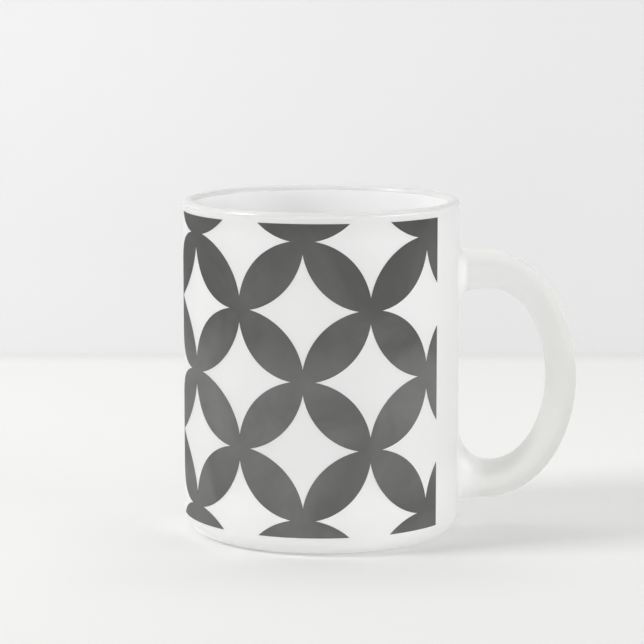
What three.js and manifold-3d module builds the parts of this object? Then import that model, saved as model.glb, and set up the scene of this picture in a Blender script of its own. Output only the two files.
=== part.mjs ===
// Frosted glass mug: a straight cup, a D-shaped handle fused to its wall, and a printed film round it.
// Millimetres, +Z up. The origin is the centre of the flat underside, and the handle points along +X.

import * as THREE from 'three';
import { mergeVertices } from 'three/addons/utils/BufferGeometryUtils.js';
import Module from 'manifold-3d';

const wasm = await Module();
wasm.setup();

// Cup
const BODY_DIAMETER = 78.4;
const BODY_HEIGHT = 95;
const WALL = 2.8;
const BASE = 7;
const HEEL_RADIUS = 5.2;
const FLOOR_RADIUS = 5;

// Handle
const UPPER_ARM_DROP = 20.4; // from the rim down to the upper arm's axis
const LOWER_ARM_RISE = 14; // from the underside up to the lower arm's axis
const BOW_DROP = 0.8; // how far the widest point lies below the middle of the two arms
const ARM_LENGTH = 8.5; // straight run of each arm, from the wall to the start of the bow
const HANDLE_PROJECTION = 33.6; // from the wall to the outside of the bow
const ARM_THICKNESS = 10.9;
const BOW_THICKNESS = 8.6;
const HANDLE_WIDTH = 12.6; // across the handle, along Y
const SECTION_SQUARENESS = 2.3; // 2 is a plain oval, and more is squarer
const TAPER_EASE = 1.5; // above 1 thins the bar sooner on its way to the bow
const UPPER_FILLET_WIDTH = 5.5; // inner corner where the upper arm meets the wall, along the arm
const UPPER_FILLET_HEIGHT = 4.6; // and down the wall
const LOWER_FILLET_WIDTH = 8;
const LOWER_FILLET_HEIGHT = 10.5;
const STRAIGHT_RUN = 0.2; // least straight bar between a root's fillet and the bow
const ROOT_SPREAD = 1.2; // flare of a root on its outer side and both flanks, where it meets the wall
const FUSE_GAP = 0.3; // between the handle's roots and the wall that they are fused to

// Printed film
const FILM_THICKNESS = 0.2;
const FILM_GAP = 0.1; // between the film and the glass under it
const PRINT_LIP_MARGIN = 1.5; // bare glass between the rounded lip and the print
const PRINT_HEEL_MARGIN = 0.2; // bare glass between the rounded heel and the print
const PRINT_HANDLE_MARGIN = 24.3; // bare glass along the wall, from the handle's middle to the print
const PETAL_PITCH = 19; // wanted distance between neighbouring petal tips, along the wall and up it
const PETAL_OVERLAP = 0.3; // how far each petal is enlarged, so that petals join where their tips meet
const PRINT_EDGE = 4.8; // from the outermost petal tips to the edge that crops the print

// Fineness of the round surfaces
const TURN_STEPS = 72;
const ARC_STEPS = 6;
const FILLET_STEPS = 6;
const BOW_STEPS = 12;
const SECTION_STEPS = 20;

const bodyRadius = BODY_DIAMETER / 2;
const lipRadius = WALL / 2;

/** A geometry from flat lists of coordinates and corner numbers. */
function geometryFrom(coordinates, corners) {
  const geometry = new THREE.BufferGeometry();
  geometry.setAttribute('position', new THREE.BufferAttribute(new Float32Array(coordinates), 3));
  geometry.setIndex(new THREE.BufferAttribute(new Uint32Array(corners), 1));
  geometry.computeVertexNormals();
  return geometry;
}

/** A solid that can be joined and cut, from a closed geometry. */
function solidOf(geometry) {
  const bare = geometry.clone();
  bare.deleteAttribute('normal');
  bare.deleteAttribute('uv');
  const merged = mergeVertices(bare);
  return new wasm.Manifold(new wasm.Mesh({
    numProp: 3,
    vertProperties: merged.attributes.position.array,
    triVerts: new Uint32Array(merged.index.array),
  }));
}

/** A geometry from a joined or cut solid. */
function geometryOf(solid) {
  const { vertProperties, triVerts } = solid.getMesh();
  return geometryFrom(vertProperties, triVerts);
}

/** A closed skin over rings of equally many points, with the same corner triangles capping both ends. */
function loft(rings, cap) {
  const count = rings[0].length;
  const last = (rings.length - 1) * count;
  const corners = [];
  for (const [a, b, c] of cap) {
    corners.push(a, c, b, last + a, last + b, last + c);
  }
  for (let start = 0; start < last; start += count) {
    for (let at = 0; at < count; at += 1) {
      const a = start + at;
      const b = start + ((at + 1) % count);
      corners.push(a, b, b + count, a, b + count, a + count);
    }
  }
  return geometryFrom(rings.flat().flatMap((point) => point.toArray()), corners);
}

/** Points along an arc between two directions in degrees, both ends included. */
function arc(centre, radius, start, end) {
  const points = [];
  for (let step = 0; step <= ARC_STEPS; step += 1) {
    const turn = THREE.MathUtils.degToRad(THREE.MathUtils.lerp(start, end, step / ARC_STEPS));
    points.push(new THREE.Vector2(centre.x + radius * Math.cos(turn), centre.y + radius * Math.sin(turn)));
  }
  return points;
}

/** The cup: underside, rounded heel, straight wall, rounded lip, inner wall, rounded corner and floor. */
function cupGeometry() {
  const heel = new THREE.Vector2(bodyRadius - HEEL_RADIUS, HEEL_RADIUS);
  const lip = new THREE.Vector2(bodyRadius - lipRadius, BODY_HEIGHT - lipRadius);
  const corner = new THREE.Vector2(bodyRadius - WALL - FLOOR_RADIUS, BASE + FLOOR_RADIUS);
  const profile = [
    new THREE.Vector2(0, 0),
    ...arc(heel, HEEL_RADIUS, -90, 0),
    ...arc(lip, lipRadius, 0, 180),
    ...arc(corner, FLOOR_RADIUS, 0, -90),
    new THREE.Vector2(0, BASE),
  ];
  return new THREE.LatheGeometry(profile, TURN_STEPS).rotateX(Math.PI / 2);
}

/** The points of one cross-section of the handle: an oval, bent round the wall where it hugs it. */
function sectionRing({ centre, outward, outer, inner, halfWidth, hug }) {
  const squared = (share) => Math.sign(share) * Math.abs(share) ** (2 / SECTION_SQUARENESS);
  const ring = [];
  for (let step = 0; step < SECTION_STEPS; step += 1) {
    const turn = (2 * Math.PI * step) / SECTION_STEPS;
    const rise = squared(Math.cos(turn));
    const point = centre.clone().addScaledVector(outward, rise * (rise > 0 ? outer : inner));
    point.y -= squared(Math.sin(turn)) * halfWidth;
    point.x -= hug * (bodyRadius - Math.sqrt(bodyRadius ** 2 - point.y ** 2));
    ring.push(point);
  }
  return ring;
}

/** Cross-sections of one arm's root, from inside the wall out to the end of its fillet. */
function rootSections(height, outward, filletWidth, filletHeight) {
  const half = ARM_THICKNESS / 2;
  const width = Math.min(filletWidth, ARM_LENGTH - STRAIGHT_RUN);
  const sections = [];
  for (let step = -1; step <= FILLET_STEPS; step += 1) {
    const turn = (Math.PI / 2) * (Math.max(step, 0) / FILLET_STEPS);
    const spread = 1 - Math.sin(turn);
    const reach = step < 0 ? bodyRadius - WALL : bodyRadius + width * (1 - Math.cos(turn));
    sections.push({
      centre: new THREE.Vector3(reach, 0, height),
      outward,
      outer: half + ROOT_SPREAD * spread,
      inner: half + filletHeight * spread,
      halfWidth: HANDLE_WIDTH / 2 + ROOT_SPREAD * spread,
      hug: spread,
    });
  }
  return sections;
}

/** Cross-sections of the bow: two quarter ellipses that meet at the widest point. */
function bowSections(upperZ, lowerZ) {
  const start = bodyRadius + ARM_LENGTH;
  const reach = HANDLE_PROJECTION - BOW_THICKNESS / 2 - ARM_LENGTH;
  const widestZ = (upperZ + lowerZ) / 2 - BOW_DROP;
  const sections = [];
  for (let step = 0; step <= 2 * BOW_STEPS; step += 1) {
    const turn = (Math.PI / 2) * (step / BOW_STEPS);
    const height = step < BOW_STEPS ? upperZ - widestZ : widestZ - lowerZ;
    const taper = 1 - (1 - Math.sin(turn)) ** TAPER_EASE;
    const half = THREE.MathUtils.lerp(ARM_THICKNESS, BOW_THICKNESS, taper) / 2;
    sections.push({
      centre: new THREE.Vector3(start + reach * Math.sin(turn), 0, widestZ + height * Math.cos(turn)),
      outward: new THREE.Vector3(height * Math.sin(turn), 0, reach * Math.cos(turn)).normalize(),
      outer: half,
      inner: half,
      halfWidth: HANDLE_WIDTH / 2,
      hug: 0,
    });
  }
  return sections;
}

/** The handle: a bar lofted from the upper root round the bow to the lower root, cut to sit on the wall. */
function handleGeometry() {
  const upperZ = BODY_HEIGHT - UPPER_ARM_DROP;
  const lowerZ = LOWER_ARM_RISE;
  const up = new THREE.Vector3(0, 0, 1);
  const down = new THREE.Vector3(0, 0, -1);
  const sections = [
    ...rootSections(upperZ, up, UPPER_FILLET_WIDTH, UPPER_FILLET_HEIGHT),
    ...bowSections(upperZ, lowerZ),
    ...rootSections(lowerZ, down, LOWER_FILLET_WIDTH, LOWER_FILLET_HEIGHT).reverse(),
  ];
  const fan = Array.from({ length: SECTION_STEPS - 2 }, (_, at) => [0, at + 1, at + 2]);
  const bar = loft(sections.map(sectionRing), fan);
  const seatRadius = bodyRadius + FUSE_GAP;
  const seat = new THREE.CylinderGeometry(seatRadius, seatRadius, 2 * BODY_HEIGHT, TURN_STEPS);
  return geometryOf(solidOf(bar).subtract(solidOf(seat.rotateX(Math.PI / 2))));
}

/** A closed prism that runs radially through the film, from an outline in arc length and height. */
function radialPrism(outline, filmRadius) {
  const near = 2 * FILM_THICKNESS;
  const radii = [filmRadius / 2, filmRadius - near, filmRadius + near, filmRadius * 2];
  const rings = radii.map((radius) => outline.map((point) => {
    const turn = point.x / filmRadius;
    return new THREE.Vector3(radius * Math.cos(turn), radius * Math.sin(turn), point.y);
  }));
  return loft(rings, THREE.ShapeUtils.triangulateShape(outline, []));
}

/** The four-pointed gap between four petals: four hollow arcs round a centre, in arc length and height. */
function starOutline(centre, pitch) {
  const radius = 1 + PETAL_OVERLAP / PETAL_PITCH;
  const tip = Math.acos(1 / radius);
  const outline = [];
  for (let quarter = 0; quarter < 4; quarter += 1) {
    const around = (Math.PI / 2) * quarter;
    const hub = new THREE.Vector2(1, 1).rotateAround(new THREE.Vector2(), around);
    for (let step = 0; step < ARC_STEPS; step += 1) {
      const turn = around + THREE.MathUtils.lerp(1.5 * Math.PI - tip, Math.PI + tip, step / ARC_STEPS);
      const point = new THREE.Vector2(Math.cos(turn), Math.sin(turn)).multiplyScalar(radius).add(hub);
      outline.push(point.multiply(pitch).add(centre));
    }
  }
  return outline;
}

/** The film: a band round the wall, open at the handle, with a star cut out between each four petals. */
function filmGeometry() {
  const filmRadius = bodyRadius + FILM_GAP + FILM_THICKNESS;
  const startTurn = PRINT_HANDLE_MARGIN / bodyRadius;
  const endTurn = 2 * Math.PI - startTurn;
  const low = HEEL_RADIUS + PRINT_HEEL_MARGIN;
  const high = BODY_HEIGHT - lipRadius - PRINT_LIP_MARGIN;

  const band = new THREE.Shape();
  band.absarc(0, 0, filmRadius, startTurn, endTurn, false);
  band.absarc(0, 0, filmRadius - FILM_THICKNESS, endTurn, startTurn, true);
  const curveSegments = Math.ceil((TURN_STEPS * (endTurn - startTurn)) / (2 * Math.PI));
  const blank = new THREE.ExtrudeGeometry(band, { depth: high - low, bevelEnabled: false, curveSegments });
  let film = solidOf(blank.translate(0, 0, low));

  // The pitch is eased so that whole petals fill the print between the cropped ones at its edges, and an even
  // number of columns makes the print its own mirror image.
  const corner = new THREE.Vector2(startTurn * filmRadius, low);
  const size = new THREE.Vector2(endTurn * filmRadius, high).sub(corner);
  const spans = new THREE.Vector2(
    2 * Math.max(1, Math.round((size.x / 2 - PRINT_EDGE) / PETAL_PITCH)),
    Math.max(1, Math.round((size.y - 2 * PRINT_EDGE) / PETAL_PITCH)),
  );
  const pitch = size.subScalar(2 * PRINT_EDGE).divide(spans);
  for (let column = 0; column <= spans.x; column += 1) {
    for (let row = 0; row <= spans.y; row += 1) {
      if ((column + row) % 2 !== 0) {
        const centre = new THREE.Vector2(column, row).multiply(pitch).addScalar(PRINT_EDGE).add(corner);
        film = film.subtract(solidOf(radialPrism(starOutline(centre, pitch), filmRadius)));
      }
    }
  }
  return geometryOf(film);
}

/** One named piece of the mug. */
function pieceOf(name, geometry, look) {
  const piece = new THREE.Mesh(geometry, new THREE.MeshStandardMaterial(look));
  piece.name = name;
  return piece;
}

const mug = new THREE.Group();
mug.add(pieceOf('glass_cup', cupGeometry(), { color: 0xe6e7e5, roughness: 0.6, metalness: 0 }));
mug.add(pieceOf('glass_handle', handleGeometry(), { color: 0xe0e0dc, roughness: 0.6, metalness: 0 }));
mug.add(pieceOf('print_film', filmGeometry(), { color: 0x5c5c5b, roughness: 0.5, metalness: 0 }));

export default mug;
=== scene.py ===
"""A frosted glass mug with a fused handle and a printed petal film, on a pale studio table.

Lengths are in metres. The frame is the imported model's: +Z up, the handle along +X, and the origin at the
middle of the flat underside.
"""

import logging
import math
from abc import ABC, abstractmethod
from collections.abc import Callable, Iterator
from contextlib import contextmanager
from dataclasses import dataclass
from enum import Enum
from typing import ClassVar

import bmesh
import bpy
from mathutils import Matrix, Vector

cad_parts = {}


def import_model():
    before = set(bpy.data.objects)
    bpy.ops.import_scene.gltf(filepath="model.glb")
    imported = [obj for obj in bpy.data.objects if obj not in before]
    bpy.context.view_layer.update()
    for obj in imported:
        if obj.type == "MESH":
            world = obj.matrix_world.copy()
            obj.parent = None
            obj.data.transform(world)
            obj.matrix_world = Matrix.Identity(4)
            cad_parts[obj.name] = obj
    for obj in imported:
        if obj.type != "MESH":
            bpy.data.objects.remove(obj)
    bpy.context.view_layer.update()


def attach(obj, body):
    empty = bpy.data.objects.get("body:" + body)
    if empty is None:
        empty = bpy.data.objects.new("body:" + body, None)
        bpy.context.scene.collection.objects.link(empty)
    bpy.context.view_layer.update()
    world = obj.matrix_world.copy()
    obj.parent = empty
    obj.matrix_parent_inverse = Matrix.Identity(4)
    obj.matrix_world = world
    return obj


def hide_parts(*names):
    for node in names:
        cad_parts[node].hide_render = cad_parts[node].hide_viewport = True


LOG = logging.getLogger("frosted_mug")
MM = 0.001
BODY = "root"

# The cup's outer radius, which the handle's roots and the film follow
WALL_RADIUS = 39.2 * MM

# The least cosine between a face's normal and a direction that the face counts as facing
FACING = 0.9

# The bevel operator's profile for a circular arc
ROUND_PROFILE = 0.5

# The Mix node's colour sockets, whose names its other sockets share
MIX_FIRST, MIX_SECOND, MIX_RESULT = 6, 7, 2

ORIGIN = Vector((0, 0, 0))
WHITE = (1, 1, 1, 1)

Rgb = tuple[float, float, float]
Stops = tuple[tuple[float, Rgb], ...]
Test = Callable[[Vector, Vector], bool]
Socket = bpy.types.NodeSocket


class Axis(Enum):
    """An axis of the frame."""

    X = "X"
    Y = "Y"
    Z = "Z"

    @property
    def direction(self) -> Vector:
        """The unit vector along the axis."""
        return Vector([1 if axis is self else 0 for axis in Axis])


class Pick(Enum):
    """The kind of element that a selection in edit mode takes."""

    EDGES = "EDGE"
    FACES = "FACE"


# Moves on the bench


def clear_selection() -> None:
    """Leaves every object unselected."""
    bpy.ops.object.select_all(action="DESELECT")


def take(name: str) -> bpy.types.Object:
    """Names the object that was just added and bakes its place into its mesh.

    Args:
        name: what the object and its mesh are called.

    Returns:
        The object.
    """
    piece = bpy.context.object
    piece.name = piece.data.name = name
    bpy.ops.object.transform_apply(location=True, rotation=True, scale=True)
    return piece


def hold(piece: bpy.types.Object) -> None:
    """Selects one object alone and makes it the active one.

    Args:
        piece: the object that the next operators act on.
    """
    clear_selection()
    piece.select_set(True)
    bpy.context.view_layer.objects.active = piece


@contextmanager
def editing(piece: bpy.types.Object) -> Iterator[None]:
    """Works on one object in edit mode, with all of it selected, and leaves edit mode at the end.

    Args:
        piece: the object whose mesh is shaped.

    Returns:
        Nothing to use while it is open.
    """
    hold(piece)
    bpy.ops.object.mode_set(mode="EDIT")
    bpy.ops.mesh.select_all(action="SELECT")
    yield
    bpy.ops.object.mode_set(mode="OBJECT")


def select(piece: bpy.types.Object, pick: Pick, test: Test) -> None:
    """Selects by place and normal, in edit mode.

    Args:
        piece: the object in edit mode.
        pick: the kind of element to select.
        test: takes an element's middle and normal, and says whether it is wanted.
    """
    bpy.ops.mesh.select_mode(type=pick.value)
    bpy.ops.mesh.select_all(action="DESELECT")
    mesh = bmesh.from_edit_mesh(piece.data)
    if pick is Pick.FACES:
        for face in mesh.faces:
            if test(face.calc_center_median(), face.normal):
                face.select_set(True)
    else:
        for edge in mesh.edges:
            first, second = edge.verts
            if test((first.co + second.co) / 2, (first.normal + second.normal).normalized()):
                edge.select_set(True)
    bmesh.update_edit_mesh(piece.data)


def turn(angle: float, axis: Axis, centre: Vector) -> None:
    """Turns what is selected by the right-hand rule; with no window the operator turns the other way."""
    bpy.ops.transform.rotate(value=-angle, orient_axis=axis.value, orient_type="GLOBAL",
                             center_override=centre)


def cut_across(axis: Axis, places: list[float]) -> None:
    """Cuts the whole mesh across an axis at several places, in edit mode.

    Args:
        axis: the axis that the cuts stand across.
        places: how far along the axis each cut lies.
    """
    for place in places:
        bpy.ops.mesh.select_all(action="SELECT")
        bpy.ops.mesh.bisect(plane_co=axis.direction * place, plane_no=axis.direction)


def face_outwards() -> None:
    """Selects the whole mesh in edit mode and points its faces outwards."""
    bpy.ops.mesh.select_all(action="SELECT")
    bpy.ops.mesh.normals_make_consistent(inside=False)


def apply_modifier(piece: bpy.types.Object, kind: str, **settings: object) -> None:
    """Adds a modifier to an object, sets it and applies it.

    Args:
        piece: the object that is changed.
        kind: the modifier's type.
        settings: the modifier's values by name.
    """
    hold(piece)
    modifier = piece.modifiers.new(kind.title(), kind)
    for key, value in settings.items():
        setattr(modifier, key, value)
    bpy.ops.object.modifier_apply(modifier=modifier.name)


def smooth(piece: bpy.types.Object, crease: float) -> None:
    """Shades an object smooth, apart from edges that bend by more degrees than a crease does."""
    hold(piece)
    bpy.ops.object.shade_smooth_by_angle(angle=math.radians(crease))


# Finishes


def grey(level: float) -> Rgb:
    """Gives the neutral linear colour of one level."""
    return (level, level, level)


class Graph:
    """A node tree that is being wired."""

    def __init__(self, tree: bpy.types.NodeTree) -> None:
        """Keeps the tree and empties it."""
        self.tree = tree
        tree.nodes.clear()

    def add(self, kind: str, inputs: dict[str | int, object] | None = None,
            **settings: object) -> bpy.types.Node:
        """Adds a node.

        Args:
            kind: the node's type.
            inputs: values for its input sockets by name or number, or sockets to link to them.
            settings: the node's own values by name.

        Returns:
            The new node.
        """
        node = self.tree.nodes.new(kind)
        for key, value in settings.items():
            setattr(node, key, value)
        for key, value in (inputs or {}).items():
            if isinstance(value, Socket):
                self.tree.links.new(value, node.inputs[key])
            else:
                node.inputs[key].default_value = value
        return node

    def along(self, axis: Axis, stops: Stops) -> Socket:
        """Runs from colour to colour along one axis of the object.

        Args:
            axis: the axis.
            stops: places along the axis, in order, each with its linear colour.

        Returns:
            The colour's socket.
        """
        place = self.add("ShaderNodeTexCoord").outputs["Object"]
        value = self.add("ShaderNodeSeparateXYZ", {"Vector": place}).outputs[axis.value]
        first, last = stops[0][0], stops[-1][0]
        share = self.add("ShaderNodeMapRange", {"Value": value, "From Min": first, "From Max": last})
        ramp = self.add("ShaderNodeValToRGB", {"Fac": share.outputs["Result"]})
        ramp.color_ramp.interpolation = "EASE"
        elements = ramp.color_ramp.elements
        while len(elements) < len(stops):
            elements.new(0.5)
        for element, (at, colour) in zip(elements, stops):
            element.position = (at - first) / (last - first)
            element.color = (*colour, 1)
        return ramp.outputs["Color"]

    def dim(self, colour: Socket, share: Socket, least: float) -> Socket:
        """Dims a colour where a mask is full.

        Args:
            colour: the colour's socket.
            share: the mask's socket, from 0 to 1.
            least: what is left of the colour where the mask is 1.

        Returns:
            The dimmed colour's socket.
        """
        node = self.add("ShaderNodeMix", {"Factor": share}, data_type="RGBA", blend_type="MULTIPLY")
        self.tree.links.new(colour, node.inputs[MIX_FIRST])
        node.inputs[MIX_SECOND].default_value = (*grey(least), 1)
        return node.outputs[MIX_RESULT]


@dataclass(frozen=True)
class FrostGrain:
    """The fine grain and faint clouds that etching leaves on glass, and that show through thin ink."""

    name: str = "frost_grain"
    cloud_detail: float = 4.0
    cloud_roughness: float = 0.55
    cloud_swirl: float = 0.6
    cloud_range: tuple[float, float] = (0.3, 0.7)
    grain_detail: float = 3.0
    grain_roughness: float = 0.6
    roughest_at: float = 0.8

    def make(self) -> bpy.types.NodeTree:
        """Builds the group once.

        Returns:
            A group that takes both scales and a range of roughness, and puts out Clouds from 0 to 1,
            Roughness and Height.
        """
        tree = bpy.data.node_groups.new(self.name, "ShaderNodeTree")
        graph = Graph(tree)
        for label in ("Cloud Scale", "Grain Scale", "Low", "High"):
            tree.interface.new_socket(label, in_out="INPUT", socket_type="NodeSocketFloat")
        for label in ("Clouds", "Roughness", "Height"):
            tree.interface.new_socket(label, in_out="OUTPUT", socket_type="NodeSocketFloat")
        given = graph.add("NodeGroupInput").outputs
        place = graph.add("ShaderNodeTexCoord").outputs["Object"]
        clouds = graph.add("ShaderNodeTexNoise", {
            "Vector": place, "Scale": given["Cloud Scale"], "Detail": self.cloud_detail,
            "Roughness": self.cloud_roughness, "Distortion": self.cloud_swirl})
        low, high = self.cloud_range
        spread = graph.add("ShaderNodeMapRange", {
            "Value": clouds.outputs["Fac"], "From Min": low, "From Max": high,
        }, interpolation_type="SMOOTHSTEP")
        grain = graph.add("ShaderNodeTexNoise", {
            "Vector": place, "Scale": given["Grain Scale"], "Detail": self.grain_detail,
            "Roughness": self.grain_roughness})
        blend = graph.add("ShaderNodeMath", {0: spread.outputs["Result"], 1: grain.outputs["Fac"]},
                          operation="MULTIPLY")
        rough = graph.add("ShaderNodeMapRange", {
            "Value": blend.outputs["Value"], "From Min": 0.0, "From Max": self.roughest_at,
            "To Min": given["Low"], "To Max": given["High"]})
        graph.add("NodeGroupOutput", {
            "Clouds": spread.outputs["Result"], "Roughness": rough.outputs["Result"],
            "Height": grain.outputs["Fac"]})
        return tree


@dataclass(frozen=True)
class Texture:
    """How fine a surface's clouds and grain are, per metre, and how deep its grain is."""

    clouds: float
    grain: float
    depth: float


@dataclass(frozen=True, kw_only=True)
class Surface(ABC):
    """What every finish has: tones along an axis that clouds dim, a range of roughness and a texture."""

    name: str
    tones: Stops
    mottle: float
    roughness: tuple[float, float]
    texture: Texture
    axis: Axis = Axis.Z

    @abstractmethod
    def make(self, grain: bpy.types.NodeTree) -> bpy.types.Material:
        """Builds the finish with the shared grain group and returns its material."""

    def shader(self, grain: bpy.types.NodeTree) -> tuple[bpy.types.Material, bpy.types.Node]:
        """Builds what the finishes share.

        Args:
            grain: the shared grain group.

        Returns:
            The material and its shader node.
        """
        material = bpy.data.materials.new(self.name)
        material.use_nodes = True
        graph = Graph(material.node_tree)
        low, high = self.roughness
        frost = graph.add("ShaderNodeGroup", {
            "Cloud Scale": self.texture.clouds, "Grain Scale": self.texture.grain, "Low": low, "High": high,
        }, node_tree=grain)
        bump = graph.add("ShaderNodeBump", {
            "Height": frost.outputs["Height"], "Distance": self.texture.depth, "Strength": 1.0})
        tone = graph.along(self.axis, self.tones)
        shader = graph.add("ShaderNodeBsdfPrincipled", {
            "Base Color": graph.dim(tone, frost.outputs["Clouds"], self.mottle),
            "Roughness": frost.outputs["Roughness"],
            "Normal": bump.outputs["Normal"]})
        graph.add("ShaderNodeOutputMaterial", {"Surface": shader.outputs["BSDF"]})
        return material, shader


@dataclass(frozen=True, kw_only=True)
class FrostedGlass(Surface):
    """Etched glass: milky, part clear to light, and with a sheen in place of a gloss."""

    clearness: float
    bend: float = 1.47
    sheen: float = 0.0
    sheen_roughness: float = 0.3

    def make(self, grain: bpy.types.NodeTree) -> bpy.types.Material:
        """Builds the glass.

        Args:
            grain: the shared grain group.

        Returns:
            The material.
        """
        material, shader = self.shader(grain)
        shader.inputs["Transmission Weight"].default_value = self.clearness
        shader.inputs["IOR"].default_value = self.bend
        shader.inputs["Sheen Weight"].default_value = self.sheen
        shader.inputs["Sheen Roughness"].default_value = self.sheen_roughness
        return material


@dataclass(frozen=True, kw_only=True)
class PrintInk(Surface):
    """A thin baked ink with next to no gloss."""

    gloss: float = 0.03

    def make(self, grain: bpy.types.NodeTree) -> bpy.types.Material:
        """Builds the ink.

        Args:
            grain: the shared grain group.

        Returns:
            The material.
        """
        material, shader = self.shader(grain)
        shader.inputs["Specular IOR Level"].default_value = self.gloss
        return material


ETCHED = Texture(clouds=45, grain=4500, depth=0.02 * MM)
SMOOTHED = Texture(clouds=45, grain=900, depth=0.004 * MM)
MELTED = Texture(clouds=45, grain=4500, depth=0.0)
INKED = Texture(clouds=38, grain=5200, depth=0.015 * MM)
PRIMED = Texture(clouds=38, grain=5200, depth=0.01 * MM)

# Painted light and shade: the outer wall is painted whiter at the foot, lifting the shade where it meets the
# table, and darker just under the lip, toning down the light from above.
CUP_GLASS = FrostedGlass(
    name="cup_glass", clearness=0.3, sheen=0.9, mottle=0.985, roughness=(0.5, 0.62), texture=ETCHED,
    tones=((13 * MM, grey(1.0)), (26 * MM, grey(0.93)), (86 * MM, grey(0.92)), (93.5 * MM, grey(0.865))))
INNER_GLASS = FrostedGlass(
    name="cup_glass_inside", clearness=0.14, mottle=0.995, roughness=(0.16, 0.24), texture=SMOOTHED,
    tones=((12 * MM, grey(1.0)), (93 * MM, grey(1.0))))
# Painted shade: the lip is painted a little darker towards its top, toning down the light on the rim.
LIP_GLASS = FrostedGlass(
    name="cup_glass_lip", clearness=0.4, mottle=0.99, roughness=(0.22, 0.28), texture=SMOOTHED,
    tones=((93.6 * MM, (0.955, 0.955, 0.95)), (95 * MM, (0.93, 0.93, 0.922))))
# Painted shade: the bar is painted darker towards the lower arm, which the table lights, and lighter towards
# the upper arm.
HANDLE_GLASS = FrostedGlass(
    name="handle_glass", clearness=0.97, bend=1.2, sheen=0.8, mottle=0.98, roughness=(0.3, 0.4),
    texture=ETCHED,
    tones=((20 * MM, (0.873, 0.872, 0.854)), (42 * MM, (0.882, 0.881, 0.862)),
           (60 * MM, (0.915, 0.914, 0.896)), (76 * MM, (0.945, 0.945, 0.935))))
# Painted light: the root is painted whitest against the wall and greyer outwards, standing in for the bright
# seam where light passes through the fused glass.
ROOT_GLASS = FrostedGlass(
    name="handle_glass_root", clearness=0.4, sheen=0.9, mottle=0.99, roughness=(0.3, 0.4), texture=ETCHED,
    axis=Axis.X,
    tones=((39.5 * MM, grey(1.0)), (41 * MM, (0.965, 0.965, 0.96)),
           (44.5 * MM, (0.9, 0.9, 0.89)), (47 * MM, (0.865, 0.864, 0.848))))
FUSED_GLASS = FrostedGlass(
    name="handle_glass_fused", clearness=1.0, bend=1.0, mottle=0.998, roughness=(0.0, 0.02), texture=MELTED,
    tones=((10 * MM, grey(1.0)), (80 * MM, grey(1.0))))
# Painted reflection: the ink is painted lighter in its lower half and darker towards the top, standing in
# for the sheen of the bright table below.
CHARCOAL_INK = PrintInk(
    name="print_ink", mottle=0.7, roughness=(0.48, 0.6), texture=INKED,
    tones=((8 * MM, (0.158, 0.158, 0.156)), (22 * MM, (0.18, 0.18, 0.178)), (45 * MM, (0.182, 0.182, 0.18)),
           (66 * MM, (0.127, 0.127, 0.125)), (92 * MM, (0.114, 0.114, 0.112))))
WHITE_UNDERBASE = PrintInk(
    name="print_underbase", mottle=0.99, roughness=(0.6, 0.7), texture=PRIMED,
    tones=((10 * MM, (0.995, 0.995, 0.993)), (92 * MM, (0.995, 0.995, 0.993))))


# Pieces of the mug


class Piece(ABC):
    """What the mug's pieces share: a name, the solid that each stands for, and its slot and finishes."""

    name: ClassVar[str]
    node: ClassVar[str]
    slot: ClassVar[str]
    finishes: ClassVar[tuple[Surface, ...]]

    @abstractmethod
    def finish_of(self, face: bpy.types.MeshPolygon) -> Surface:
        """Tells which of the finishes a face has."""

    def dress(self, piece: bpy.types.Object, grain: bpy.types.NodeTree) -> None:
        """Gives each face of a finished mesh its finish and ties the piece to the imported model.

        Args:
            piece: the finished object.
            grain: the shared grain group.
        """
        for finish in self.finishes:
            piece.data.materials.append(finish.make(grain))
        for face in piece.data.polygons:
            face.material_index = self.finishes.index(self.finish_of(face))
        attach(piece, BODY)
        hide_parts(self.node)
        piece.data.calc_loop_triangles()
        LOG.info("%s: %d triangles", piece.name, len(piece.data.loop_triangles))


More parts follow.
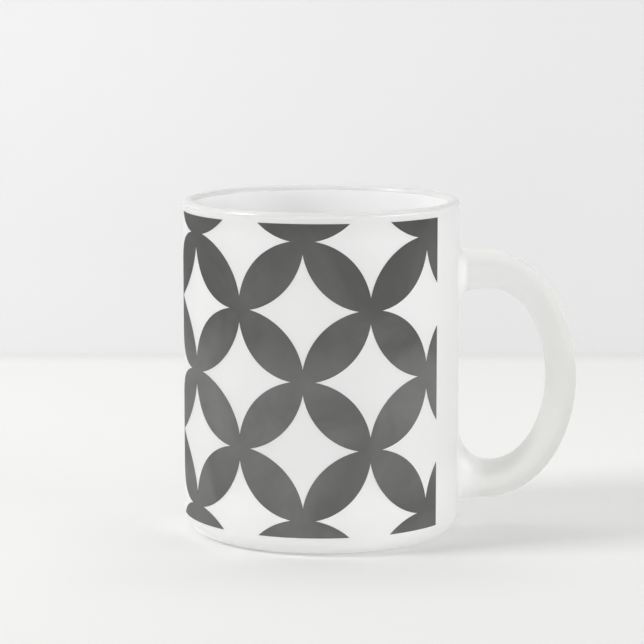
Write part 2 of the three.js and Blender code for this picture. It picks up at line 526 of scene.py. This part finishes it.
@dataclass
class Cup(Piece):
    """The straight cup: thick base, round heel, even wall and a lip rounded in the fire."""

    name: ClassVar[str] = "frosted_cup"
    node: ClassVar[str] = "glass_cup"
    slot: ClassVar[str] = "cup_glass"
    finishes: ClassVar[tuple[Surface, ...]] = (CUP_GLASS, INNER_GLASS, LIP_GLASS)

    radius: float = WALL_RADIUS
    height: float = 95 * MM
    wall: float = 2.8 * MM
    base: float = 7 * MM
    heel: float = 5.2 * MM
    floor_corner: float = 5 * MM
    lip_flat: float = 0.02 * MM
    cut_margin: float = 0.15 * MM
    near: float = 0.05 * MM
    crease: float = 30
    sides: int = 192
    arc_steps: int = 12

    def build(self) -> bpy.types.Object:
        """Shapes the cup from a cylinder.

        Returns:
            The finished cup.
        """
        clear_selection()
        bpy.ops.mesh.primitive_cylinder_add(vertices=self.sides, radius=self.radius, depth=self.height,
                                            end_fill_type="NGON", location=(0, 0, self.height / 2))
        cup = take(self.name)
        lip = self.wall / 2 - self.lip_flat
        with editing(cup):
            self._hollow(cup)
            self._round(cup, 0, self.radius, self.heel)
            self._round(cup, self.base, self.radius - self.wall, self.floor_corner)
            self._round(cup, self.height, self.radius, lip)
            self._round(cup, self.height, self.radius - self.wall, lip)
            cut_across(Axis.Z, [self.heel + self.cut_margin, self.base + self.floor_corner + self.cut_margin,
                                self.height / 2, self.height - lip - self.cut_margin])
            face_outwards()
        smooth(cup, self.crease)
        return cup

    def finish_of(self, face: bpy.types.MeshPolygon) -> Surface:
        """Tells the lip, which the fire has polished, and the inside from the etched outside.

        Args:
            face: a face of the cup.

        Returns:
            Its finish.
        """
        if face.center.z > self.height - self.wall / 2:
            return LIP_GLASS
        within = math.hypot(face.center.x, face.center.y) < self.radius - self.wall / 2
        return INNER_GLASS if within and face.center.z > self.base - self.near else CUP_GLASS

    def _hollow(self, cup: bpy.types.Object) -> None:
        """Insets the top by the wall and sinks it to the floor.

        Args:
            cup: the cup in edit mode.
        """
        select(cup, Pick.FACES, lambda middle, normal: normal.z > FACING)
        bpy.ops.mesh.inset(thickness=self.wall, depth=0)
        bpy.ops.mesh.extrude_region_move(TRANSFORM_OT_translate={"value": (0, 0, self.base - self.height)})

    def _round(self, cup: bpy.types.Object, height: float, radius: float, size: float) -> None:
        """Rounds one edge that runs round the cup.

        Args:
            cup: the cup in edit mode.
            height: where the edge lies.
            radius: how far the edge is from the axis.
            size: the radius of the rounding.
        """
        select(cup, Pick.EDGES, lambda middle, normal: abs(middle.z - height) < self.near
               and abs(math.hypot(middle.x, middle.y) - radius) < self.near)
        bpy.ops.mesh.bevel(offset=size, offset_type="OFFSET", segments=self.arc_steps, profile=ROUND_PROFILE,
                           affect="EDGES", clamp_overlap=False)


@dataclass(frozen=True)
class Station:
    """One cross-section of the handle's bar: its middle, lean, half sizes and hold on the wall."""

    x: float
    z: float
    lean: float
    half_thickness: float
    half_width: float
    hug: float = 0.0

    @property
    def centre(self) -> Vector:
        """The middle as a point."""
        return Vector((self.x, 0, self.z))


@dataclass
class Handle(Piece):
    """The D-shaped handle: a drawn bar bent to a bow, fused to the wall at two flared roots."""

    name: ClassVar[str] = "frosted_handle"
    node: ClassVar[str] = "glass_handle"
    slot: ClassVar[str] = "handle_glass"
    finishes: ClassVar[tuple[Surface, ...]] = (HANDLE_GLASS, ROOT_GLASS, FUSED_GLASS)

    wall_radius: float = WALL_RADIUS
    upper_arm: float = 74.6 * MM
    lower_arm: float = 14 * MM
    widest: float = 43.5 * MM
    arm_length: float = 8.5 * MM
    projection: float = 33.6 * MM
    arm_thickness: float = 10.9 * MM
    bow_thickness: float = 8.6 * MM
    width: float = 12.6 * MM
    taper_ease: float = 1.5
    upper_fillet: tuple[float, float] = (5.5 * MM, 4.6 * MM)
    lower_fillet: tuple[float, float] = (8 * MM, 10.5 * MM)
    flare: float = 1.2 * MM
    buried: float = 1.6 * MM
    start_gap: float = 0.02 * MM
    upper_milky: float = 2.5 * MM
    lower_milky: float = 7.6 * MM
    fused_depth: float = 0.15 * MM
    corner_share: float = 0.42
    crease: float = 60
    corner_steps: int = 9
    fillet_steps: int = 9
    bow_steps: int = 22

    def build(self, cup: bpy.types.Object) -> bpy.types.Object:
        """Extrudes the bar from root to root and presses its roots to the wall.

        Args:
            cup: the cup that the roots are fused to.

        Returns:
            The finished handle.
        """
        upper = self._root(self.upper_arm, 1, *self.upper_fillet)
        lower = self._root(self.lower_arm, -1, *self.lower_fillet)
        stations = upper + self._bow() + lower[::-1]
        bar = self._first_section(stations[0])
        bar.vertex_groups.new(name="hug")
        with editing(bar):
            self._weigh(stations[0])
            for before, after in zip(stations, stations[1:]):
                self._draw_on(before, after)
            face_outwards()
        apply_modifier(bar, "SHRINKWRAP", target=cup, wrap_method="PROJECT", use_project_x=True,
                       use_negative_direction=True, use_positive_direction=False, vertex_group="hug")
        smooth(bar, self.crease)
        return bar

    def finish_of(self, face: bpy.types.MeshPolygon) -> Surface:
        """Tells the milky roots, and their clear ends inside the wall, from the bar.

        Args:
            face: a face of the handle.

        Returns:
            Its finish.
        """
        depth = math.hypot(face.center.x, face.center.y) - self.wall_radius
        if depth < -self.fused_depth:
            return FUSED_GLASS
        milky = self.upper_milky if face.center.z > self.widest else self.lower_milky
        return ROOT_GLASS if depth < milky else HANDLE_GLASS

    def _root(self, height: float, side: int, reach: float, drop: float) -> list[Station]:
        """Sections of one root, from inside the wall out to the end of its fillet.

        Args:
            height: the arm's axis above the table.
            side: 1 where the arm's outer side is up, and -1 where it is down.
            reach: the inner fillet's length along the arm.
            drop: the inner fillet's length along the wall.

        Returns:
            The sections in order.
        """
        stations = []
        for step in range(-1, self.fillet_steps + 1):
            angle = math.pi / 2 * max(step, 0) / self.fillet_steps
            spread = 1 - math.sin(angle)
            outer = self.arm_thickness / 2 + self.flare * spread
            inner = self.arm_thickness / 2 + drop * spread
            out = -self.buried if step < 0 else reach * math.tan(angle / 2) + self.start_gap
            stations.append(Station(x=self.wall_radius + out, z=height + side * (outer - inner) / 2,
                                    lean=0 if side > 0 else math.pi, half_thickness=(outer + inner) / 2,
                                    half_width=self.width / 2 + self.flare * spread,
                                    hug=0 if step < 0 else spread))
        return stations

    def _bow(self) -> list[Station]:
        """Sections of the bow, which is two quarter ellipses that meet at the widest point.

        Returns:
            The sections in order.
        """
        start = self.wall_radius + self.arm_length
        reach = self.projection - self.bow_thickness / 2 - self.arm_length
        stations = []
        for step in range(2 * self.bow_steps + 1):
            angle = math.pi / 2 * step / self.bow_steps
            rise = self.upper_arm - self.widest if step < self.bow_steps else self.widest - self.lower_arm
            taper = 1 - (1 - math.sin(angle)) ** self.taper_ease
            thickness = self.arm_thickness + (self.bow_thickness - self.arm_thickness) * taper
            stations.append(Station(x=start + reach * math.sin(angle),
                                    z=self.widest + rise * math.cos(angle),
                                    lean=math.atan2(rise * math.sin(angle), reach * math.cos(angle)),
                                    half_thickness=thickness / 2, half_width=self.width / 2))
        return stations

    def _first_section(self, station: Station) -> bpy.types.Object:
        """Makes the first section: a plate across X with rounded corners.

        Args:
            station: where the plate stands.

        Returns:
            The plate.
        """
        clear_selection()
        bpy.ops.mesh.primitive_plane_add(size=1, rotation=(0, math.pi / 2, 0))
        bar = take(self.name)
        with editing(bar):
            bpy.ops.mesh.bevel(offset=self.corner_share, segments=self.corner_steps, affect="VERTICES",
                               profile=ROUND_PROFILE)
            bpy.ops.mesh.select_all(action="SELECT")
            bpy.ops.transform.resize(value=(1, 2 * station.half_width, 2 * station.half_thickness),
                                     center_override=ORIGIN)
            bpy.ops.transform.translate(value=station.centre)
        return bar

    def _draw_on(self, before: Station, after: Station) -> None:
        """Extrudes the bar's end from one section to the next, in edit mode.

        Args:
            before: the section that is selected.
            after: the section to reach.
        """
        move = after.centre - before.centre
        bpy.ops.mesh.extrude_region_move(TRANSFORM_OT_translate={"value": move})
        turn(-before.lean, Axis.Y, after.centre)
        bpy.ops.transform.resize(value=(1, after.half_width / before.half_width,
                                        after.half_thickness / before.half_thickness),
                                 center_override=after.centre)
        turn(after.lean, Axis.Y, after.centre)
        self._weigh(after)

    def _weigh(self, station: Station) -> None:
        """Gives the selected section its hold on the wall."""
        bpy.context.scene.tool_settings.vertex_group_weight = station.hug
        bpy.ops.object.vertex_group_assign()


@dataclass
class PrintFilm(Piece):
    """The printed film: a band round the wall, open at the handle, of petals with bare stars between."""

    name: ClassVar[str] = "petal_print"
    node: ClassVar[str] = "print_film"
    slot: ClassVar[str] = "print_ink"
    finishes: ClassVar[tuple[Surface, ...]] = (CHARCOAL_INK, WHITE_UNDERBASE)

    wall_radius: float = WALL_RADIUS
    lift: float = 0.03 * MM
    thickness: float = 0.07 * MM
    low: float = 5.4 * MM
    high: float = 92.1 * MM
    handle_margin: float = 24.3 * MM
    edge: float = 4.8 * MM
    edge_radius: float = 39.5 * MM
    columns: int = 10
    rows: int = 4
    petal_growth: float = 1.0158
    cutter_depth: float = 0.42 * MM
    merge_gap: float = 0.0005 * MM
    crease: float = 40
    round_sides: int = 128
    strips: int = 130

    @property
    def angle(self) -> float:
        """How far the film runs round the cup."""
        return 2 * (math.pi - self.handle_margin / self.wall_radius)

    @property
    def radius(self) -> float:
        """The radius at the middle of the film's thickness, where bending keeps its length."""
        return self.wall_radius + self.lift + self.thickness / 2

    @property
    def length(self) -> float:
        """The flat film's length."""
        return self.angle * self.radius

    def build(self) -> bpy.types.Object:
        """Cuts the film flat, then wraps it round the wall.

        Returns:
            The finished film.
        """
        film = self._slab()
        cutter = self._stars()
        apply_modifier(film, "BOOLEAN", object=cutter, operation="DIFFERENCE", solver="EXACT")
        bpy.data.objects.remove(cutter)
        with editing(film):
            step = self.length / self.strips
            cut_across(Axis.X, [step * (at - self.strips / 2) for at in range(1, self.strips)])
        apply_modifier(film, "SIMPLE_DEFORM", deform_method="BEND", deform_axis="Z", angle=self.angle)
        with editing(film):
            bpy.ops.mesh.remove_doubles(threshold=self.merge_gap)
            bpy.ops.mesh.select_all(action="SELECT")
            bpy.ops.transform.translate(value=(0, -self.radius, 0))
            turn(-math.pi / 2, Axis.Z, ORIGIN)
            face_outwards()
        smooth(film, self.crease)
        return film

    def finish_of(self, face: bpy.types.MeshPolygon) -> Surface:
        """Tells the side towards the glass, which is the white under the ink, from the rest.

        Args:
            face: a face of the film.

        Returns:
            Its finish.
        """
        outward = Vector((face.center.x, face.center.y, 0)).normalized()
        return WHITE_UNDERBASE if outward.dot(face.normal) < -FACING else CHARCOAL_INK

    def _slab(self) -> bpy.types.Object:
        """Makes the flat blank of the film.

        Returns:
            The blank.
        """
        clear_selection()
        bpy.ops.mesh.primitive_cube_add(size=1, location=(0, 0, (self.low + self.high) / 2),
                                        scale=(self.length, self.thickness, self.high - self.low))
        return take(self.name)

    def _stars(self) -> bpy.types.Object:
        """Makes the cutters of all bare stars as one object.

        Returns:
            The joined cutters.
        """
        # The edge is measured on the outside of the solid film and takes up the same angle here
        edge = self.edge * self.radius / self.edge_radius
        pitch = Vector(((self.length - 2 * edge) / self.columns, 0,
                        (self.high - self.low - 2 * self.edge) / self.rows))
        first = Vector((edge - self.length / 2, 0, self.low + self.edge))
        star = self._star(pitch)
        copies = []
        for column in range(self.columns + 1):
            for row in range(self.rows + 1):
                if (column + row) % 2:
                    hold(star)
                    bpy.ops.object.duplicate(linked=False)
                    bpy.context.object.location = first + Vector((column * pitch.x, 0, row * pitch.z))
                    copies.append(bpy.context.object)
        bpy.data.objects.remove(star)
        hold(copies[0])
        for copy in copies:
            copy.select_set(True)
        bpy.ops.object.join()
        return take("bare_stars")

    def _star(self, pitch: Vector) -> bpy.types.Object:
        """Makes one cutter: a block with a round hollow at each of its four corners.

        Args:
            pitch: the distances between petal tips.

        Returns:
            The cutter, round the origin.
        """
        clear_selection()
        bpy.ops.mesh.primitive_cube_add(size=1, scale=(2 * pitch.x, self.cutter_depth, 2 * pitch.z))
        star = take("bare_star")
        for across in (-1, 1):
            for up in (-1, 1):
                clear_selection()
                bpy.ops.mesh.primitive_cylinder_add(
                    vertices=self.round_sides, radius=self.petal_growth, depth=2 * self.cutter_depth,
                    rotation=(math.pi / 2, 0, 0), location=(across * pitch.x, 0, up * pitch.z))
                bpy.context.object.scale = (pitch.x, pitch.z, 1)
                hollow = take("hollow")
                apply_modifier(star, "BOOLEAN", object=hollow, operation="DIFFERENCE", solver="EXACT")
                bpy.data.objects.remove(hollow)
        return star


# Studio


@dataclass(frozen=True)
class SoftBox:
    """A soft light that faces the mug and isn't seen itself."""

    name: str
    place: tuple[float, float, float]
    size: tuple[float, float]
    power: float
    aim: tuple[float, float, float] = (0, 0, 50 * MM)

    def hang(self) -> None:
        """Adds the light."""
        clear_selection()
        bpy.ops.object.light_add(type="AREA", location=self.place)
        light = bpy.context.object
        light.name = self.name
        light.data.shape = "RECTANGLE"
        light.data.size, light.data.size_y = self.size
        light.data.energy = self.power
        light.rotation_euler = (Vector(self.aim) - light.location).to_track_quat("-Z", "Y").to_euler()
        light.visible_camera = False


SOFT_BOXES = (
    SoftBox("key_left", place=(-1.0, -0.25, 0.75), size=(0.35, 0.35), power=8.3),
    SoftBox("fill_right", place=(1.0, -0.5, 0.3), size=(0.9, 0.6), power=5.5),
    SoftBox("fill_front", place=(0.1, -1.5, 0.15), size=(1.4, 0.4), power=5.3),
    SoftBox("front_high", place=(0.0, -1.2, 1.0), size=(0.8, 0.5), power=1.9),
    SoftBox("rear_high", place=(0.0, 0.2, 0.7), size=(0.8, 0.15), power=0.7),
)


@dataclass
class Studio:
    """A pale table that meets a wall, soft boxes under an even sky, and the camera."""

    table_drop: float = 0.2 * MM
    half_length: float = 1.2
    front: float = -1.6
    wall_distance: float = 0.3065
    wall_height: float = 1.4
    # Painted shade: the table is painted darker towards the front and darker still where it meets the wall.
    table_tones: Stops = ((-0.25, (0.66, 0.656, 0.642)), (-0.02, (0.7, 0.697, 0.684)),
                          (0.28, (0.7, 0.697, 0.684)), (wall_distance, (0.62, 0.618, 0.61)))
    table_glow: float = 0.175
    # Painted light: the wall is painted lighter on the left, towards the key light, and darker on the right.
    wall_tones: Stops = ((-0.13, (0.52, 0.52, 0.522)), (0.13, (0.47, 0.47, 0.472)))
    wall_glow: float = 0.306
    sky: float = 0.25
    backdrop: float = 0.8
    eye: tuple[float, float, float] = (0.00013, -0.75347, 0.17502)
    pitch: float = 8.72
    lens: float = 149.17
    sensor: float = 36
    glass_bounces: int = 64
    surface_bounces: int = 32

    def build(self) -> None:
        """Sets up the sweep, the light and the camera."""
        self._sweep()
        self._light()
        self._camera()
        self._paths()

    def _sweep(self) -> None:
        """Shapes the table and the wall from one plane."""
        clear_selection()
        depth = self.wall_distance - self.front
        bpy.ops.mesh.primitive_plane_add(size=1, location=(0, self.front + depth / 2, -self.table_drop))
        bpy.context.object.scale = (2 * self.half_length, depth, 1)
        sweep = take("studio_sweep")
        with editing(sweep):
            select(sweep, Pick.EDGES, lambda middle, normal: middle.y > self.wall_distance - MM)
            bpy.ops.mesh.extrude_region_move(TRANSFORM_OT_translate={"value": (0, 0, self.wall_height)})
        sweep.data.materials.append(self._paint("studio_table", Axis.Y, self.table_tones, self.table_glow))
        sweep.data.materials.append(self._paint("studio_wall", Axis.X, self.wall_tones, self.wall_glow))
        for face in sweep.data.polygons:
            face.material_index = 1 if abs(face.normal.y) > FACING else 0
        LOG.info("studio sweep: %d faces", len(sweep.data.polygons))

    def _paint(self, name: str, axis: Axis, tones: Stops, glow: float) -> bpy.types.Material:
        """Makes one paint of the sweep, which lets the mug be seen through it from behind.

        Args:
            name: the paint's name.
            axis: the axis that its tone changes along.
            tones: its tones along that axis.
            glow: how much light it gives of its own, as a light table does.

        Returns:
            The material.
        """
        material = bpy.data.materials.new(name)
        material.use_nodes = True
        graph = Graph(material.node_tree)
        paint = graph.add("ShaderNodeBsdfPrincipled", {
            "Base Color": graph.along(axis, tones), "Roughness": 1.0, "Specular IOR Level": 0.0,
            "Emission Color": WHITE, "Emission Strength": glow})
        clear = graph.add("ShaderNodeBsdfTransparent")
        side = graph.add("ShaderNodeNewGeometry").outputs["Backfacing"]
        mixed = graph.add("ShaderNodeMixShader", {
            0: side, 1: paint.outputs["BSDF"], 2: clear.outputs["BSDF"]})
        graph.add("ShaderNodeOutputMaterial", {"Surface": mixed.outputs["Shader"]})
        return material

    def _light(self) -> None:
        """Adds an even sky, which looks paler than the light that it gives, and hangs the soft boxes."""
        world = bpy.data.worlds.new("studio_sky")
        bpy.context.scene.world = world
        world.use_nodes = True
        graph = Graph(world.node_tree)
        seen = graph.add("ShaderNodeLightPath").outputs["Is Camera Ray"]
        strength = graph.add("ShaderNodeMapRange", {
            "Value": seen, "To Min": self.sky, "To Max": self.backdrop})
        sky = graph.add("ShaderNodeBackground", {
            "Color": WHITE, "Strength": strength.outputs["Result"]})
        graph.add("ShaderNodeOutputWorld", {"Surface": sky.outputs["Background"]})
        for box in SOFT_BOXES:
            box.hang()

    def _camera(self) -> None:
        """Places the camera at the photograph's height, distance and tilt."""
        clear_selection()
        bpy.ops.object.camera_add(location=self.eye, rotation=(math.radians(90 - self.pitch), 0, 0))
        camera = bpy.context.object
        camera.name = "studio_camera"
        camera.data.sensor_width = self.sensor
        camera.data.lens = self.lens
        bpy.context.scene.camera = camera
        bpy.context.scene.view_settings.view_transform = "Standard"

    def _paths(self) -> None:
        """Lets light bounce on inside the milky glass until little is lost."""
        paths = bpy.context.scene.cycles
        paths.max_bounces = paths.transmission_bounces = self.glass_bounces
        paths.diffuse_bounces = paths.glossy_bounces = self.surface_bounces


def main() -> None:
    """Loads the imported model, builds and dresses each piece, and sets up the studio."""
    logging.basicConfig(level=logging.INFO, format="%(name)s: %(message)s", force=True)
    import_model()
    grain = FrostGrain().make()

    cup, handle, film = Cup(), Handle(), PrintFilm()
    cup_piece = cup.build()
    cup.dress(cup_piece, grain)
    handle.dress(handle.build(cup_piece), grain)
    film.dress(film.build(), grain)

    Studio().build()


if __name__ == "__main__":
    main()
